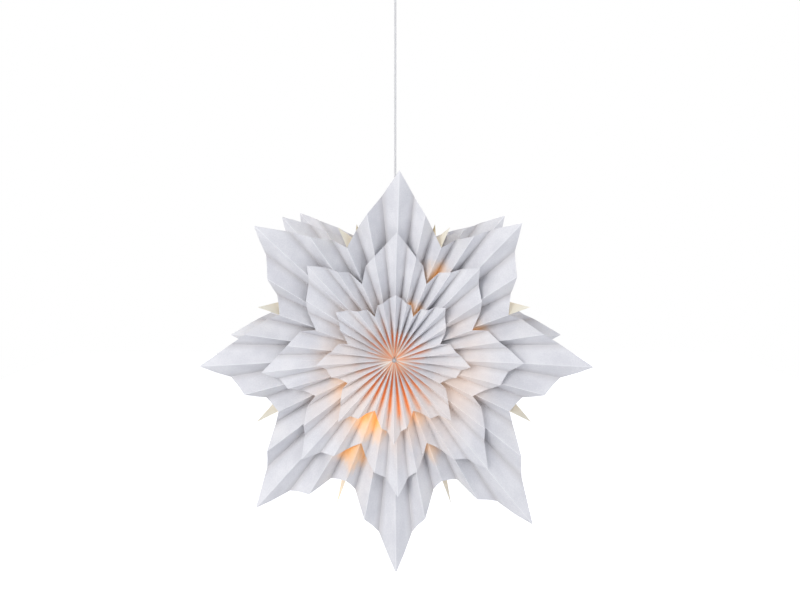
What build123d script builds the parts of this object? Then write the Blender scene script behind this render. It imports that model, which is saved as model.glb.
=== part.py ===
from build123d import *
import math
import os

# ---------------------------------------------------------------------------
# Pleated paper star on a cord, eight points, three layers deep.
# Origin: middle of the ceiling face. +Z up. The star faces -Y.
# ---------------------------------------------------------------------------

# --- driving dimensions, mm --------------------------------------------------
hang_drop = 880.0          # ceiling face down to the middle of the star

points = 8                 # points of every star
facets_per_point = 8       # pleat facets in one point
large_tip = 350.0          # middle to tip of the large stars
medium_tip = 235.0
small_tip = 138.0
shoulder_angle = 17.0      # leaves widen from the tip to here, then turn in to the notch
large_shoulder = 0.71 * large_tip
medium_shoulder = 0.77 * medium_tip
small_shoulder = 0.77 * small_tip
large_notch = 0.64 * large_tip
medium_notch = 0.65 * medium_tip
small_notch = 0.65 * small_tip
large_facet = 38.0         # width of the pleated strip's facets
medium_facet = 26.0
small_facet = 18.0
layer_gap = 150.0          # middle star to the front and rear large stars
tier_step = 18.0           # large to medium star, and medium to small
star_dish = 68.0           # the front and rear stars sink this far from the tips to the middle
paper = 0.25               # paper thickness
glue_line = 0.1            # seam between two neighbouring leaves
lamp_opening = 95.0        # middle star's inner folds, from its middle: the lamp comes out through it

seat_gap = 0.3             # between pieces that rest on each other
fit_gap = 0.05             # between a shaft and its hole

cord_d = 5.0
bulb_r = 22.5
bulb_drop = 45.0           # middle of the glass below the middle of the star
cap_r = 6.9                # lamp cap, over its thread
cap_length = 20.0

shell_r = 14.0             # lamp holder
shell_wall = 1.2
shell_bottom = -2.0        # heights from the middle of the star
shell_top = 40.0
shade_ring_r = 20.0
shade_ring_height = 4.0
holder_cap_top = 64.0
gland_top = 72.0

wire_r = 1.5               # spreader wire
arm_bend_r = 7.5
hub_r = 10.0 - seat_gap    # the tiers' inner edges lie on radius 10
nose_r = 4.0 - seat_gap    # and those of the small tiers on radius 4
hub_flange_r = 14.0
hub_flange_depth = 4.6

gusset_foot = lamp_opening + 5.0   # inner end of a gusset, from the middle
gusset_tip = 266.0
gusset_heel = 212.0        # outer end where it meets the middle star
gusset_lift = 0.5          # free edges off the middle of the star's depth
gusset_spread = 0.6        # front gussets straddle the middle star's ridge, rear ones sit inside it

plate_r = 35.0
plate_height = 3.0
screw_spacing = 50.0
screw_hole_r = 2.25
hook_wire_r = 2.0
hook_eye_r = 7.0
hook_eye_drop = 18.0
ring_r = 8.0
ring_wire_r = 1.5
grip_eye_r = 6.0
grip_eye_wire_r = 1.5
grip_r = 5.0
grip_length = 13.0
cup_r = 50.0
cup_height = 66.0
cup_wall = 2.0
cup_hole_r = 11.0
cup_corner = 9.0

# --- derived -----------------------------------------------------------------
fold_angle = 360.0 / (points * facets_per_point)
half_folds = facets_per_point // 2
notch_angle = 180.0 / points
star_z = -hang_drop
cord_r = cord_d / 2
ring_rest_z = shell_top + seat_gap + wire_r
large_inner = hub_r + seat_gap
small_inner = nose_r + seat_gap

star_front = Plane(origin=(0, 0, star_z), x_dir=(1, 0, 0), z_dir=(0, -1, 0))
star_rear = Plane(origin=(0, 0, star_z), x_dir=(-1, 0, 0), z_dir=(0, 1, 0))

os.makedirs("parts", exist_ok=True)


def keep(piece, name):
    """Label a finished piece and write it."""
    piece.part.label = name
    export_step(piece.part, f"parts/{name}.step")


# --- pleats ------------------------------------------------------------------
def fold_pitch(radius):
    """Distance between neighbouring folds at a radius."""
    return math.radians(fold_angle) * radius


def pleat_depth(radius, facet):
    """Depth of the zigzag at a radius: the facet keeps its width, so it flattens outwards."""
    return math.sqrt(facet**2 - fold_pitch(radius)**2)


def sheet_shift(radius, facet):
    """Paper thickness measured along the depth of the pleat."""
    return paper * facet / fold_pitch(radius)


def sink(radius, dish):
    """How far a dished star's paper lies behind the plane of the large tips at a radius."""
    return dish * (1 - radius / large_tip)


def pleat_outline(height, facet, dish):
    """Closed zigzag of one leaf on the plane that is square to its middle fold."""
    front = []
    back = []
    for fold in range(-half_folds, half_folds + 1):
        angle = math.radians(fold * fold_angle)
        radius = height / math.cos(angle)
        side = height * math.tan(angle)
        if abs(fold) == half_folds:
            side -= math.copysign(glue_line / 2, fold)
        ridge = 1 if fold % 2 == 0 else -1
        depth = ridge * pleat_depth(radius, facet) / 2 - sink(radius, dish)
        shift = sheet_shift(radius, facet) / 2
        front.append((side, depth + shift))
        back.append((side, depth - shift))
    return front + back[::-1]


def pleated_star(name, face, tip, shoulder, notch, facet, stations, dish):
    """Eight folded leaves round the middle of a plane, each trimmed to tip, shoulders and notches."""
    notch_x = notch * math.cos(math.radians(notch_angle))
    notch_y = notch * math.sin(math.radians(notch_angle))
    shoulder_x = shoulder * math.cos(math.radians(shoulder_angle))
    shoulder_y = shoulder * math.sin(math.radians(shoulder_angle))
    flare_x = shoulder_x + 2.5 * (notch_x - shoulder_x)
    flare_y = shoulder_y + 2.5 * (notch_y - shoulder_y)
    with BuildPart() as leaf:
        for station in stations:
            with BuildSketch(Plane.YZ.offset(station)):
                with BuildLine():
                    Polyline(*pleat_outline(station, facet, dish), close=True)
                make_face()
        loft(ruled=True)
        with BuildSketch(Plane.XY):
            Polygon(
                (tip, 0),
                (shoulder_x, shoulder_y),
                (flare_x, flare_y),
                (-facet, flare_y),
                (-facet, -flare_y),
                (flare_x, -flare_y),
                (shoulder_x, -shoulder_y),
                align=None,
            )
        extrude(amount=2 * facet + dish, both=True, mode=Mode.INTERSECT)
    with BuildPart(face) as star:
        with PolarLocations(0, points):
            add(leaf.part)
    keep(star, name)
    return star


large_stations = (large_inner, 25, lamp_opening, large_notch, large_tip)
middle_stations = (lamp_opening, large_notch, large_tip)
medium_stations = (large_inner, 25, lamp_opening, medium_notch, medium_tip)
small_stations = (small_inner, 25, small_notch, small_tip)

for side_name, side_plane in (("front", star_front), ("rear", star_rear)):
    large_plane = side_plane.offset(layer_gap)
    medium_plane = large_plane.offset(tier_step)
    small_plane = medium_plane.offset(tier_step)
    for size, plane, tip, shoulder, notch, facet, stations in (
        ("large", large_plane, large_tip, large_shoulder, large_notch, large_facet, large_stations),
        ("medium", medium_plane, medium_tip, medium_shoulder, medium_notch, medium_facet, medium_stations),
        ("small", small_plane, small_tip, small_shoulder, small_notch, small_facet, small_stations),
    ):
        tier_name = f"{side_name}_{size}_tier"
        pleated_star(tier_name, plane, tip, shoulder, notch, facet, stations, star_dish)
pleated_star(
    "middle_large_tier",
    star_front,
    large_tip,
    large_shoulder,
    large_notch,
    large_facet,
    middle_stations,
    0,
)


# --- gussets: folded webs in the notches, from a large star to the middle star --
def gusset_outline(radius, half_width):
    """Closed V on the plane square to the notch line: apex under the large star's ridge."""
    ridge = layer_gap - sink(radius, star_dish) + pleat_depth(radius, large_facet) / 2
    under = sheet_shift(radius, large_facet) / 2 + seat_gap * large_facet / fold_pitch(radius)
    apex = ridge - under
    foot = gusset_lift
    inner_apex = apex - paper * (apex - foot) / half_width
    return [
        (0, apex),
        (half_width, foot),
        (half_width - paper, foot),
        (0, inner_apex),
        (paper - half_width, foot),
        (-half_width, foot),
    ]


for side_name, side_plane, spread in (
    ("front", star_front, gusset_spread),
    ("rear", star_rear, -gusset_spread),
):
    with BuildPart() as gusset:
        for station in (gusset_foot, gusset_tip):
            with BuildSketch(Plane.YZ.offset(station)):
                with BuildLine():
                    Polyline(
                        *gusset_outline(station, fold_pitch(station) / 2 + spread), close=True
                    )
                make_face()
        loft(ruled=True)
        with BuildSketch(Plane.XZ):
            Polygon(
                (gusset_tip, layer_gap),
                (gusset_heel, 0),
                (gusset_heel, -tier_step),
                (gusset_tip + 60, -tier_step),
                (gusset_tip + 60, layer_gap),
                align=None,
            )
        extrude(amount=30, both=True, mode=Mode.SUBTRACT)
    for count in range(points):
        with BuildPart(side_plane) as placed_gusset:
            with PolarLocations(0, 1, start_angle=notch_angle + count * 2 * notch_angle):
                add(gusset.part)
        keep(placed_gusset, f"{side_name}_gusset_{count + 1}")


# --- hubs: the tiers' inner edges sit round them, the spreader's arms end in them -
large_middle_y = layer_gap - sink(large_inner, star_dish)
small_middle_y = layer_gap + 2 * tier_step - sink(small_inner, star_dish)
hub_back = large_middle_y - large_facet / 2 - sheet_shift(large_inner, large_facet) / 2 - seat_gap
hub_step = small_middle_y - small_facet / 2 - sheet_shift(small_inner, small_facet) / 2 - seat_gap
hub_end = small_middle_y + small_facet / 2 + 2
for side_name, side_plane in (("front", star_front), ("rear", star_rear)):
    with BuildPart() as hub:
        with BuildSketch(Plane.XZ):
            with BuildLine():
                Polyline(
                    (wire_r + fit_gap, hub_back - hub_flange_depth),
                    (hub_flange_r, hub_back - hub_flange_depth),
                    (hub_flange_r, hub_back),
                    (hub_r, hub_back),
                    (hub_r, hub_step),
                    (nose_r, hub_step),
                    (nose_r, hub_end - 1),
                    (nose_r - 1, hub_end),
                    (wire_r + fit_gap, hub_end),
                    close=True,
                )
            make_face()
        revolve(axis=Axis.Z)
    with BuildPart(side_plane) as placed_hub:
        add(hub.part)
    keep(placed_hub, f"{side_name}_hub")


# --- wire spreader: ring round the lamp holder, an arm into each hub ------------
spreader_ring_r = shell_r + 0.8 + wire_r
arm_bend_y = hub_back - hub_flange_depth - arm_bend_r - 2.5   # where each arm turns down
with BuildPart() as wire_spreader:
    with BuildSketch(Plane.XZ):
        with Locations((spreader_ring_r, star_z + ring_rest_z)):
            Circle(wire_r)
    revolve(axis=Axis.Z)
    for way in (-1, 1):
        with BuildLine() as arm:
            FilletPolyline(
                (0, way * spreader_ring_r, star_z + ring_rest_z),
                (0, way * arm_bend_y, star_z + ring_rest_z),
                (0, way * arm_bend_y, star_z),
                (0, way * (hub_end - 0.5), star_z),
                radius=arm_bend_r,
            )
        with BuildSketch(Plane(origin=arm.line @ 0, z_dir=arm.line % 0)):
            Circle(wire_r)
        sweep(path=arm.line)
keep(wire_spreader, "wire_spreader")


# --- lamp holder, from the cord downwards ---------------------------------------
def turned(name, profile):
    """A turned piece about the cord, from (radius, height above the star's middle) points."""
    with BuildPart() as piece:
        with BuildSketch(Plane.XZ):
            with BuildLine():
                Polyline(*[(r, star_z + z) for r, z in profile], close=True)
            make_face()
        revolve(axis=Axis.Z)
    keep(piece, name)
    return piece


turned(
    "holder_gland",
    [
        (0, holder_cap_top),
        (6.5, holder_cap_top),
        (6.5, holder_cap_top + 3),
        (5.5, holder_cap_top + 4),
        (4.2, gland_top),
        (0, gland_top),
    ],
)
turned(
    "holder_cap",
    [
        (0, holder_cap_top),
        (7.5, holder_cap_top),
        (11.5, holder_cap_top - 3),
        (13.4, holder_cap_top - 8),
        (shell_r, shell_top + 8),
        (shell_r, shell_top),
        (shell_r - shell_wall, shell_top),
        (shell_r - shell_wall, shell_top + 8),
        (12.2, holder_cap_top - 9),
        (10.5, holder_cap_top - 5),
        (0, holder_cap_top - 2),
    ],
)
turned(
    "holder_shell",
    [
        (shell_r - shell_wall, shell_bottom),
        (shell_r - 0.4, shell_bottom),
        (shell_r, shell_bottom + 0.8),
        (shell_r, shell_top),
        (shell_r - shell_wall, shell_top),
    ],
)
turned(
    "shade_ring",
    [
        (shell_r + fit_gap, shell_top - shade_ring_height),
        (shade_ring_r - 1, shell_top - shade_ring_height),
        (shade_ring_r, shell_top - shade_ring_height + 1),
        (shade_ring_r, shell_top - 0.6),
        (shade_ring_r - 0.6, shell_top),
        (shell_r + fit_gap, shell_top),
    ],
)
bore_r = cap_r + seat_gap
bore_top = shell_bottom + cap_length + 3
turned(
    "holder_insert",
    [
        (bore_r, shell_bottom + 1),
        (shell_r - shell_wall - fit_gap, shell_bottom + 1),
        (shell_r - shell_wall - fit_gap, shell_top - 4),
        (9.0, shell_top + 2),
        (0, shell_top + 2),
        (0, bore_top + 2),
        (bore_r, bore_top + 2),
    ],
)
turned(
    "holder_contact",
    [
        (0, bore_top + 2),
        (5.0, bore_top + 2),
        (5.0, bore_top + 1.4),
        (2.4, bore_top + 1.0),
        (0, bore_top + 0.8),
    ],
)

# --- lamp --------------------------------------------------------------------
cap_top = shell_bottom + cap_length
cap_profile = [(0, cap_top), (4.6, cap_top), (cap_r - 0.5, cap_top - 2.5)]
for turn in range(5):
    cap_profile.append((cap_r, cap_top - 4.0 - 2.8 * turn))
    cap_profile.append((cap_r - 0.6, cap_top - 5.4 - 2.8 * turn))
cap_profile += [(cap_r - 0.2, shell_bottom + 0.4), (cap_r - 0.2, shell_bottom - 1.2)]
cap_profile += [(0, shell_bottom - 1.2)]
turned("bulb_cap", cap_profile)
turned(
    "bulb_contact",
    [
        (0, cap_top),
        (3.0, cap_top),
        (3.0, cap_top + 1.2),
        (1.6, bore_top + 0.5),
        (0, bore_top + 0.5),
    ],
)
glass_wall = 0.9
glass_top = shell_bottom - 1.2
neck_r = 11.0
neck_height = 2.4
ball_z = star_z - bulb_drop


def lamp_outline(shrink, top):
    """Half outline of ball and neck, drawn in by a wall's thickness."""
    with BuildSketch(Plane.XZ) as outline:
        with Locations((0, ball_z)):
            Circle(bulb_r - shrink)
        Polygon(
            (shrink - neck_r, top),
            (neck_r - shrink, top),
            (0.8 * bulb_r - shrink, ball_z + 0.6 * bulb_r),
            (shrink - 0.8 * bulb_r, ball_z + 0.6 * bulb_r),
            align=None,
        )
        with Locations((bulb_r, ball_z)):
            Rectangle(2 * bulb_r, 6 * bulb_r, mode=Mode.INTERSECT)
    return outline


glass_outline = lamp_outline(0, star_z + glass_top)
hollow_outline = lamp_outline(glass_wall, star_z + glass_top - neck_height)
with BuildPart() as bulb_glass:
    add(glass_outline.sketch)
    revolve(axis=Axis.Z)
    add(hollow_outline.sketch)
    revolve(axis=Axis.Z, mode=Mode.SUBTRACT)
keep(bulb_glass, "bulb_glass")
turned(
    "bulb_stem",
    [
        (0, glass_top - neck_height),
        (5.0, glass_top - neck_height),
        (3.4, glass_top - 12),
        (3.0, glass_top - 22),
        (3.0, -bulb_drop - 6),
        (1.8, -bulb_drop - 8),
        (0, -bulb_drop - 8),
    ],
)

# --- hook, hanger ring, cord grip: three links on the axis -----------------------
hook_wire_z = -hook_eye_drop - hook_eye_r
ring_top_z = hook_wire_z + hook_wire_r + seat_gap + ring_wire_r
ring_z = ring_top_z - ring_r
ring_bottom_z = ring_z - ring_r
eye_top_z = ring_bottom_z + ring_wire_r + seat_gap + grip_eye_wire_r
eye_z = eye_top_z - grip_eye_r
grip_top_z = eye_z - grip_eye_r
grip_bottom_z = grip_top_z - grip_length

with BuildPart() as ceiling_hook:
    with Locations(Location((0, 0, -hook_eye_drop), (90, 0, 0))):
        Torus(hook_eye_r, hook_wire_r)
    with Locations((0, 0, -hook_eye_drop + hook_eye_r)):
        Cylinder(2.5, hook_eye_drop - hook_eye_r, align=(Align.CENTER, Align.CENTER, Align.MIN))
keep(ceiling_hook, "ceiling_hook")

with BuildPart() as hook_nut:
    with BuildSketch(Plane.XY.offset(-plate_height)):
        RegularPolygon(4.6, 6)
        Circle(2.5 + fit_gap, mode=Mode.SUBTRACT)
    extrude(amount=-3.5)
keep(hook_nut, "hook_nut")

with BuildPart() as hanger_ring:
    with Locations(Location((0, 0, ring_z), (0, 90, 0))):
        Torus(ring_r, ring_wire_r)
keep(hanger_ring, "hanger_ring")

with BuildPart() as cord_grip:
    with Locations(Location((0, 0, eye_z), (90, 0, 0))):
        Torus(grip_eye_r, grip_eye_wire_r)
    with BuildSketch(Plane.XZ):
        with BuildLine():
            Polyline(
                (0, grip_top_z + 0.6),
                (2.2, grip_top_z + 0.6),
                (grip_r, grip_top_z - 3),
                (grip_r, grip_bottom_z + 2),
                (grip_r - 1, grip_bottom_z),
                (0, grip_bottom_z),
                close=True,
            )
        make_face()
    revolve(axis=Axis.Z)
keep(cord_grip, "cord_grip")

cord_length = grip_bottom_z - (star_z + gland_top)
with BuildPart() as cord:
    with BuildSketch(Plane.XY.offset(star_z + gland_top)):
        Circle(cord_r)
    extrude(amount=cord_length)
keep(cord, "cord")
print("cord length mm:", round(cord_length, 2))
print("cord volume over section times length:", cord.part.volume / (math.pi * cord_r**2 * cord_length))

# --- ceiling plate, cup and terminal block ---------------------------------------
ear_face = cup_r - cup_wall - 1.0
ear_depth = 14.0
ear_screw_z = -8.0
with BuildPart() as ceiling_plate:
    with BuildSketch(Plane.XY):
        Circle(plate_r)
        Rectangle(16, 2 * ear_face)
    extrude(amount=-plate_height)
    with BuildSketch(Plane.XY):
        with Locations((0, ear_face - 1.25), (0, 1.25 - ear_face)):
            Rectangle(16, 2.5)
    extrude(amount=-ear_depth)
    with GridLocations(screw_spacing, 1, 2, 1):
        Hole(screw_hole_r)
    Hole(2.5 + fit_gap)
    with BuildSketch(Plane.XZ):
        with Locations((0, ear_screw_z)):
            Circle(2.0 + fit_gap)
    extrude(amount=cup_r + 5, both=True, mode=Mode.SUBTRACT)
keep(ceiling_plate, "ceiling_plate")

with BuildPart() as cup_hollow:
    with BuildSketch(Plane.XY):
        Circle(cup_r - cup_wall)
    extrude(amount=-(cup_height - cup_wall))
    fillet(cup_hollow.edges().sort_by(Axis.Z)[0], cup_corner - cup_wall)
with BuildPart() as ceiling_cup:
    with BuildSketch(Plane.XY):
        Circle(cup_r)
    extrude(amount=-cup_height)
    fillet(ceiling_cup.edges().sort_by(Axis.Z)[0], cup_corner)
    add(cup_hollow.part, mode=Mode.SUBTRACT)
    with BuildSketch(Plane.XY.offset(-cup_height)):
        Circle(cup_hole_r)
    extrude(amount=2 * cup_wall, both=True, mode=Mode.SUBTRACT)
    with BuildSketch(Plane.XZ):
        with Locations((0, ear_screw_z)):
            Circle(2.0 + fit_gap)
    extrude(amount=cup_r + 5, both=True, mode=Mode.SUBTRACT)
keep(ceiling_cup, "ceiling_cup")

for screw_name, way in (("cup_screw_front", -1), ("cup_screw_rear", 1)):
    with BuildPart() as screw:
        with BuildSketch(Plane(origin=(0, way * (cup_r + 0.05), ear_screw_z), z_dir=(0, way, 0))):
            Circle(4.0)
        extrude(amount=2.4)
        chamfer(screw.edges().sort_by(Axis.Y)[-1 if way > 0 else 0], 0.8)
        with BuildSketch(Plane(origin=(0, way * (cup_r + 0.05), ear_screw_z), z_dir=(0, -way, 0))):
            Circle(2.0)
        extrude(amount=7.5)
        with BuildSketch(Plane(origin=(0, way * (cup_r + 2.45), ear_screw_z), z_dir=(0, way, 0))):
            Rectangle(6.4, 0.9)
        extrude(amount=-0.9, mode=Mode.SUBTRACT)
    keep(screw, screw_name)

with BuildPart() as terminal_block:
    with BuildSketch(Plane.XY.offset(-plate_height)):
        with Locations((0, 25)):
            Rectangle(24, 13)
    extrude(amount=-15)
    fillet(terminal_block.edges().filter_by(Axis.Z), 1.5)
    with Locations(Plane.XY.offset(-plate_height - 15)):
        with Locations((-6, 25), (6, 25)):
            Hole(2.2, depth=4)
    with BuildSketch(Plane.XZ.offset(-25)):
        with Locations((-6, -plate_height - 9), (6, -plate_height - 9)):
            Circle(1.6)
    extrude(amount=10, both=True, mode=Mode.SUBTRACT)
keep(terminal_block, "terminal_block")
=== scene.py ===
"""Looks of a pleated paper star pendant: folded paper, wire, lamp holder, cord and ceiling cup."""

import logging
import math
from dataclasses import dataclass
from enum import Enum

import bpy
from mathutils import Matrix, Vector, noise

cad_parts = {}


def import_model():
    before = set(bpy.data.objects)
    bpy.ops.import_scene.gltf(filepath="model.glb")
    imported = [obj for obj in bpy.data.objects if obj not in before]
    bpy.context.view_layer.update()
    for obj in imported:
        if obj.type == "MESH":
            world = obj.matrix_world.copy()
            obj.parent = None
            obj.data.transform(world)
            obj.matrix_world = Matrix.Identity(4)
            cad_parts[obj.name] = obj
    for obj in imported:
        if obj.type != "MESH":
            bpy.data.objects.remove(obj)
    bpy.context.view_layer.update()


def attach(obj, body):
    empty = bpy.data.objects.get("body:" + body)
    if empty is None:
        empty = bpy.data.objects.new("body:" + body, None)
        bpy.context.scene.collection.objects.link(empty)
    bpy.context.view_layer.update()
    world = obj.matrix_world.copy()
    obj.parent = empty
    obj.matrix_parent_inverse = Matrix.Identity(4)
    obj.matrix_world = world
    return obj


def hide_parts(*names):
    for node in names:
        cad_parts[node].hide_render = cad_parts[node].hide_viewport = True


log = logging.getLogger("star_pendant")

MM = 0.001
STAR_HEIGHT = -0.88  # the star's middle, metres from the ceiling
LARGE_TIP = 0.350  # radius of the large stars' tips
POINTS = 8
FACETS = 8  # to each point
SHOULDER_ANGLE = 17.0  # degrees from a point's middle fold to its widest place
LOBE = 2 * math.pi / POINTS
FOLD_ANGLE = LOBE / FACETS
FOLD_MAP = "fold_map"
GRAIN_DEPTH = 0.2 * MM

Colour = tuple[float, float, float]


class Facing(Enum):
    """Which way a star's ridges stand."""

    FRONT = -1
    REAR = 1


# --- node helpers --------------------------------------------------------------


@dataclass
class Graph:
    """A node tree with short ways to add and join its nodes.

    Args:
        tree: the node tree of a material, a world or a node group.
    """

    tree: bpy.types.NodeTree

    def add(self, kind: str, **settings: object) -> bpy.types.Node:
        """Adds a node.

        Args:
            kind: the node's type name.
            settings: properties to set on it.

        Returns:
            The new node.
        """
        made = self.tree.nodes.new(kind)
        for name, value in settings.items():
            setattr(made, name, value)
        return made

    def join(self, source: object, target: bpy.types.NodeSocket) -> None:
        """Feeds a socket from another socket, or sets it to a plain value."""
        if isinstance(source, bpy.types.NodeSocket):
            self.tree.links.new(source, target)
        else:
            target.default_value = source

    def math(self, operation: str, *values: object, clamp: bool = False) -> bpy.types.NodeSocket:
        """Adds a Math node.

        Args:
            operation: the node's operation.
            values: its inputs, sockets or numbers.
            clamp: keeps the result between 0 and 1.

        Returns:
            The output socket.
        """
        made = self.add("ShaderNodeMath", operation=operation, use_clamp=clamp)
        for place, value in enumerate(values):
            self.join(value, made.inputs[place])
        return made.outputs[0]

    def length(self, first: object, second: object) -> bpy.types.NodeSocket:
        """Length of the flat vector with the two given parts."""
        squares = (self.math("MULTIPLY", part, part) for part in (first, second))
        return self.math("SQRT", self.math("ADD", *squares))

    def fade(self, value: object, low: float, high: float) -> bpy.types.NodeSocket:
        """Maps a value smoothly from 0 at low to 1 at high.

        Args:
            value: the socket to map.
            low: where the result is 0.
            high: where the result is 1.

        Returns:
            The mapped socket.
        """
        made = self.add("ShaderNodeMapRange", interpolation_type="SMOOTHSTEP")
        flip = low > high
        self.join(value, made.inputs["Value"])
        made.inputs["From Min"].default_value = min(low, high)
        made.inputs["From Max"].default_value = max(low, high)
        made.inputs["To Min"].default_value = 1.0 if flip else 0.0
        made.inputs["To Max"].default_value = 0.0 if flip else 1.0
        return made.outputs["Result"]

    def blend(self, share: object, first: object, second: object, how: str = "MIX") -> bpy.types.NodeSocket:
        """Mixes two colours.

        Args:
            share: how much of the second.
            first: a colour or a socket.
            second: a colour or a socket.
            how: the blend type, ADD to lay light on light.

        Returns:
            The mixed colour's socket.
        """
        made = self.add("ShaderNodeMix", data_type="RGBA", clamp_factor=True, blend_type=how)
        self.join(share, made.inputs[0])
        for place, colour in ((6, first), (7, second)):
            if isinstance(colour, tuple):
                colour = (*colour, 1.0)
            self.join(colour, made.inputs[place])
        return made.outputs[2]

    def speckle(self, place: object, scale: float, detail: float = 3.0) -> bpy.types.NodeSocket:
        """Adds a noise pattern.

        Args:
            place: the coordinates' socket.
            scale: how many cells to a metre.
            detail: how many finer layers.

        Returns:
            The pattern's value, about 0.5 on the whole.
        """
        made = self.add("ShaderNodeTexNoise")
        made.inputs["Scale"].default_value = scale
        made.inputs["Detail"].default_value = detail
        self.join(place, made.inputs["Vector"])
        return made.outputs["Fac"]

    def use(self, group: bpy.types.NodeTree, **numbers: float) -> bpy.types.Node:
        """Adds a shared effect.

        Args:
            group: the effect's node group.
            numbers: values of its inputs, by their names.

        Returns:
            The group's node.
        """
        made = self.add("ShaderNodeGroup", node_tree=group)
        for name, value in numbers.items():
            made.inputs[name].default_value = value
        return made

    def relief(
        self, height: object, strength: float, depth: float, under: object = None
    ) -> bpy.types.NodeSocket:
        """Adds a Bump node.

        Args:
            height: the height's socket.
            strength: how much of it shows.
            depth: how deep it goes, metres.
            under: the normal that it lies on.

        Returns:
            The normal's socket.
        """
        made = self.add("ShaderNodeBump")
        made.inputs["Strength"].default_value = strength
        made.inputs["Distance"].default_value = depth
        self.join(height, made.inputs["Height"])
        if under is not None:
            self.join(under, made.inputs["Normal"])
        return made.outputs["Normal"]


def new_group(name: str, inputs: dict[str, float], outputs: dict[str, str]) -> tuple[Graph, object, object]:
    """Starts a shader node group.

    Args:
        name: the group's name.
        inputs: its number inputs and their defaults.
        outputs: its outputs and their socket types.

    Returns:
        The graph, the group's input node and its output node.
    """
    tree = bpy.data.node_groups.new(name, "ShaderNodeTree")
    for label, value in inputs.items():
        made = tree.interface.new_socket(label, in_out="INPUT", socket_type="NodeSocketFloat")
        made.default_value = value
    for label, kind in outputs.items():
        tree.interface.new_socket(label, in_out="OUTPUT", socket_type=kind)
    graph = Graph(tree)
    return graph, graph.add("NodeGroupInput"), graph.add("NodeGroupOutput")


def new_material(name: str) -> tuple[bpy.types.Material, Graph, dict[str, bpy.types.NodeSocket]]:
    """Starts a material.

    Args:
        name: the material's name.

    Returns:
        The material, its graph and the inputs of its Principled shader by name.
    """
    made = bpy.data.materials.new(name)
    made.use_nodes = True
    return made, Graph(made.node_tree), made.node_tree.nodes["Principled BSDF"].inputs


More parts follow.
